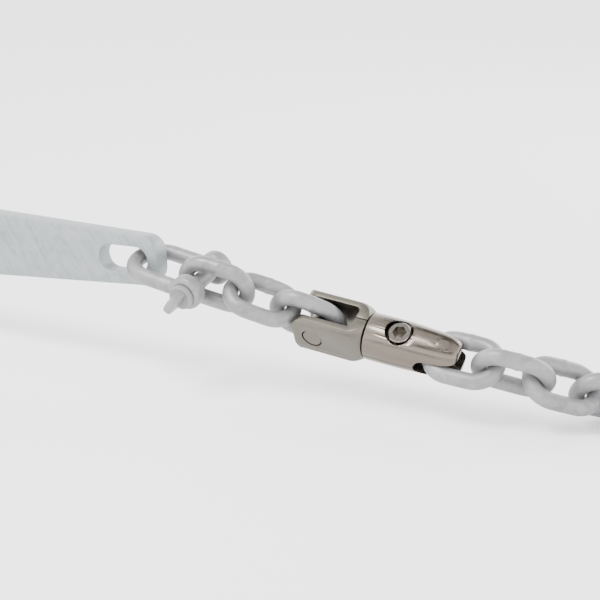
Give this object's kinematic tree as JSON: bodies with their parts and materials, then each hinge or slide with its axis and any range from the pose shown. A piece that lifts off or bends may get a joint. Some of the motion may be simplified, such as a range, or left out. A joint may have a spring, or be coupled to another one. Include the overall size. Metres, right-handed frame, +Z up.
{
  "type": "boat anchor",
  "caption": "Twin-fluke galvanised boat anchor with slotted plate shank, screw-pin shackle, short-link chain and a stainless fork-end swivel connector.",
  "frame": {"origin": "middle of the assembly's footprint, on the ground it lies on", "axes": "+X along the shank from the crown to the chain, +Y to the left-hand fluke, +Z up"},
  "size_m": [0.813, 0.43, 0.0845],
  "materials": {
    "galvanised_plate": "hot-dip galvanised plate, brushed, pale matt grey",
    "galvanised_shackle": "hot-dip galvanised forging, pale satin grey",
    "galvanised_chain": "hot-dip galvanised chain, pale satin grey",
    "polished_stainless": "satin-polished stainless steel",
    "bronze_washer": "plain turned bronze"
  },
  "bodies": {
    "shank": {"anchor_shank": "galvanised_plate"},
    "flukes": {"fluke_left": "galvanised_plate", "fluke_rib_left": "galvanised_plate", "fluke_sleeve_left": "galvanised_plate", "crown_cheek_left": "galvanised_plate", "stock_collar_left": "galvanised_plate", "stock_cotter_left": "polished_stainless", "fluke_right": "galvanised_plate", "fluke_rib_right": "galvanised_plate", "fluke_sleeve_right": "galvanised_plate", "crown_cheek_right": "galvanised_plate", "stock_collar_right": "galvanised_plate", "stock_cotter_right": "polished_stainless", "crown_plate_upper": "galvanised_plate", "crown_plate_lower": "galvanised_plate", "stock_rod": "galvanised_plate"},
    "shackle": {"shackle_bow": "galvanised_shackle", "shackle_pin": "galvanised_shackle"},
    "link_1": {"chain_link_1": "galvanised_chain"},
    "link_2": {"chain_link_2": "galvanised_chain"},
    "link_3": {"chain_link_3": "galvanised_chain"},
    "fork": {"swivel_fork": "polished_stainless", "fork_pin": "polished_stainless"},
    "swivel_body": {"swivel_thrust_washer": "bronze_washer", "swivel_body_upper": "polished_stainless", "swivel_body_lower": "polished_stainless", "swivel_body_screw": "polished_stainless", "swivel_nose_pin": "polished_stainless"},
    "link_4": {"chain_link_4": "galvanised_chain"},
    "link_5": {"chain_link_5": "galvanised_chain"},
    "link_6": {"chain_link_6": "galvanised_chain"},
    "link_7": {"chain_link_7": "galvanised_chain"},
    "link_8": {"chain_link_8": "galvanised_chain"}
  },
  "joints": [
    {"name": "fluke_swing", "type": "hinge", "parent": "shank", "child": "flukes", "pos_m": [-0.32481, 0, 0.03964], "axis": [0, 1, 0], "range_deg": [-38, 24]},
    {"name": "shackle_swing", "type": "hinge", "parent": "shank", "child": "shackle", "pos_m": [0.13695, 0, 0.059], "axis": [0, 1, 0], "range_deg": [-35, 15]},
    {"name": "link_1_swing", "type": "hinge", "parent": "shackle", "child": "link_1", "pos_m": [0.17349, 0.00032, 0.05321], "axis": [-0.0267, -0.9746, -0.2222], "range_deg": [-40, 40]},
    {"name": "link_2_swing", "type": "hinge", "parent": "link_1", "child": "link_2", "pos_m": [0.19653, 0.00505, 0.04795], "axis": [0.2696, -0.2938, 0.9171], "range_deg": [-18, 18]},
    {"name": "link_3_swing", "type": "hinge", "parent": "link_2", "child": "link_3", "pos_m": [0.21815, 0.01231, 0.04075], "axis": [-0.1428, 0.8892, 0.4346], "range_deg": [-18, 8]},
    {"name": "fork_swing", "type": "hinge", "parent": "link_3", "child": "fork", "pos_m": [0.2314, 0.01633, 0.03609], "axis": [-0.0338, -0.858, -0.5126], "range_deg": [-25, 6]},
    {"name": "swivel_turn", "type": "hinge", "parent": "fork", "child": "swivel_body", "pos_m": [0.25806, 0.01684, 0.03347], "axis": [0.995, 0.0191, -0.0976], "continuous": true},
    {"name": "link_4_swing", "type": "hinge", "parent": "swivel_body", "child": "link_4", "pos_m": [0.29628, 0.01757, 0.02973], "axis": [0.0887, -0.6141, 0.7842], "range_deg": [-40, 40]},
    {"name": "link_5_swing", "type": "hinge", "parent": "link_4", "child": "link_5", "pos_m": [0.32108, 0.01866, 0.02781], "axis": [0.0128, 0.7893, 0.6138], "range_deg": [-30, 30]},
    {"name": "link_6_swing", "type": "hinge", "parent": "link_5", "child": "link_6", "pos_m": [0.34294, 0.02696, 0.0223], "axis": [0.3461, -0.5349, 0.7708], "range_deg": [-30, 30]},
    {"name": "link_7_swing", "type": "hinge", "parent": "link_6", "child": "link_7", "pos_m": [0.36162, 0.04038, 0.01544], "axis": [-0.3047, 0.7667, 0.565], "range_deg": [-30, 30]},
    {"name": "link_8_swing", "type": "hinge", "parent": "link_7", "child": "link_8", "pos_m": [0.38093, 0.0535, 0.01028], "axis": [0.4545, -0.3326, 0.8263], "range_deg": [-30, 30]}
  ]
}
